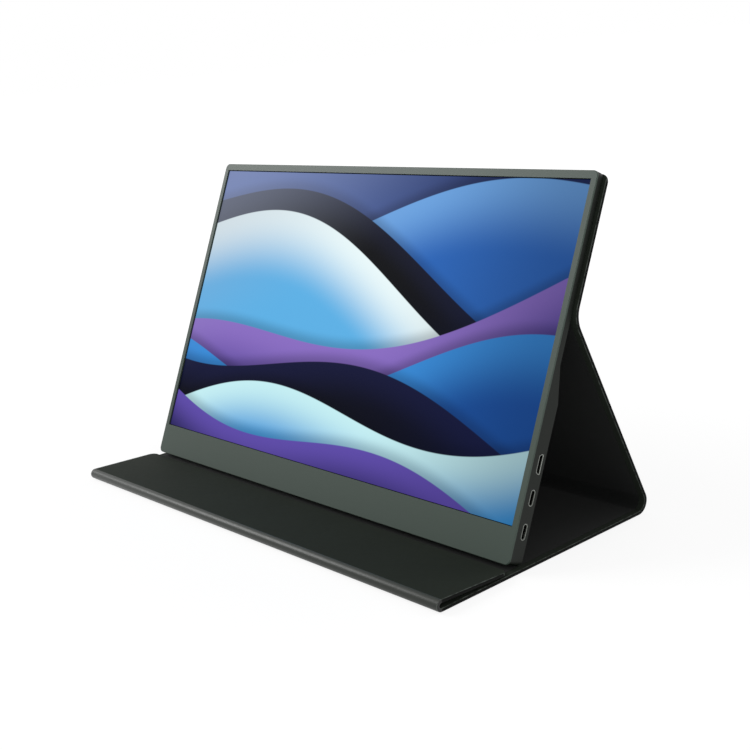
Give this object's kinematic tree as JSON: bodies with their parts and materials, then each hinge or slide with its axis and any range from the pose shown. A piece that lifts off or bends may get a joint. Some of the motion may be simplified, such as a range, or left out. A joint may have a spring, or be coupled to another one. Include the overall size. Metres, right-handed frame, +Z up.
{
  "type": "portable monitor with cover",
  "caption": "Slim portable monitor leaning on a soft folding cover: its creased back panel props the screen up and its folded front lip stops the lower edge.",
  "frame": {"origin": "middle of the bounding box on the table plane under the cover's base", "axes": "+X across the screen to the viewer's right, +Y to the rear, +Z up"},
  "size_m": [0.3584, 0.1746, 0.2059],
  "materials": {
    "bezel_grey": "satin",
    "case_dark": "satin",
    "control_black": "satin",
    "foam_black": "matte",
    "picture_film": "gloss",
    "panel_glass": "gloss",
    "clear_sheet": "satin",
    "white_sheet": "matte",
    "lamp": "gloss",
    "flex_amber": "satin",
    "panel_plastic": "matte",
    "tray_steel": "brushed",
    "socket_steel": "satin",
    "screw_steel": "satin",
    "circuit_green": "satin",
    "chip_black": "satin",
    "socket_black": "satin",
    "magnet_nickel": "polished",
    "cover_skin": "fine grain",
    "cover_lining": "microfibre",
    "cover_stiffener": "matte"
  },
  "bodies": {
    "base": {"base_skin": "cover_skin", "base_board": "cover_stiffener", "base_lining": "cover_lining", "base_magnets": "magnet_nickel", "rear_fold_skin": "cover_skin", "rear_fold_lining": "cover_lining", "front_fold_skin": "cover_skin", "front_fold_lining": "cover_lining"},
    "lip": {"lip_skin": "cover_skin", "lip_board": "cover_stiffener", "lip_lining": "cover_lining", "lip_magnets": "magnet_nickel"},
    "prop": {"prop_skin": "cover_skin", "prop_board": "cover_stiffener", "prop_lining": "cover_lining", "crease_skin": "cover_skin", "crease_lining": "cover_lining"},
    "jog_slider": {"jog_slider": "control_black"},
    "jog_wheel": {"jog_wheel": "control_black"},
    "power_button": {"power_button": "control_black"},
    "monitor": {"front_bezel": "bezel_grey", "rear_case": "case_dark", "case_screws": "screw_steel", "panel_gasket": "foam_black", "front_polariser": "picture_film", "colour_glass": "panel_glass", "array_glass": "panel_glass", "rear_polariser": "clear_sheet", "prism_sheet": "clear_sheet", "diffuser_sheet": "white_sheet", "light_guide": "clear_sheet", "reflector_sheet": "white_sheet", "led_strip": "flex_amber", "led_chips": "lamp", "panel_frame": "panel_plastic", "panel_tray": "tray_steel", "source_board": "circuit_green", "source_films": "flex_amber", "panel_ribbon": "flex_amber", "main_board": "circuit_green", "board_chips": "chip_black", "usb_c_shells": "socket_steel", "usb_c_tongues": "socket_black", "mini_video_shell": "socket_steel", "mini_video_tongue": "socket_black", "key_board": "circuit_green", "key_ribbon": "flex_amber", "jog_switch": "chip_black", "power_switch": "chip_black", "audio_jack": "socket_black", "board_screws": "screw_steel", "speaker_left": "panel_plastic", "speaker_right": "panel_plastic", "speaker_leads": "flex_amber", "holding_strips": "tray_steel", "upper_skin": "cover_skin", "upper_lining": "cover_lining", "upper_board": "cover_stiffener", "upper_magnets": "magnet_nickel"}
  },
  "joints": [
    {"name": "lip_fold", "type": "hinge", "parent": "base", "child": "lip", "pos_m": [0, -0.0876, 0.00359], "axis": [1, 0, 0], "range_deg": [0, 179.5], "deforming": ["front_fold_skin", "front_fold_lining"]},
    {"name": "rear_fold", "type": "hinge", "parent": "base", "child": "prop", "pos_m": [0, 0.08616, 0.00356], "axis": [-1, 0, 0], "range_deg": [0, 108.9], "deforming": ["rear_fold_skin", "rear_fold_lining"]},
    {"name": "monitor_fold", "type": "hinge", "parent": "prop", "child": "monitor", "pos_m": [0, 0.03516, 0.12194], "axis": [1, 0, 0], "range_deg": [0, 46.55], "deforming": ["crease_skin", "crease_lining"]},
    {"name": "jog_press", "type": "slide", "parent": "monitor", "child": "jog_slider", "axis": [1, 0, 0], "range_m": [0, 0.0004], "stiffness_N_per_m": 800},
    {"name": "jog_turn", "type": "hinge", "parent": "jog_slider", "child": "jog_wheel", "pos_m": [-0.1732, -0.00519, 0.04762], "axis": [0, 0.91, -0.4147], "range_deg": [-15, 15], "stiffness_Nm_per_rad": 0.004},
    {"name": "power_press", "type": "slide", "parent": "monitor", "child": "power_button", "axis": [1, 0, 0], "range_m": [0, 0.0004], "stiffness_N_per_m": 800}
  ],
  "couplings": [
    {"joint": "monitor_fold", "follows": "rear_fold", "ratio": 0.42745}
  ]
}
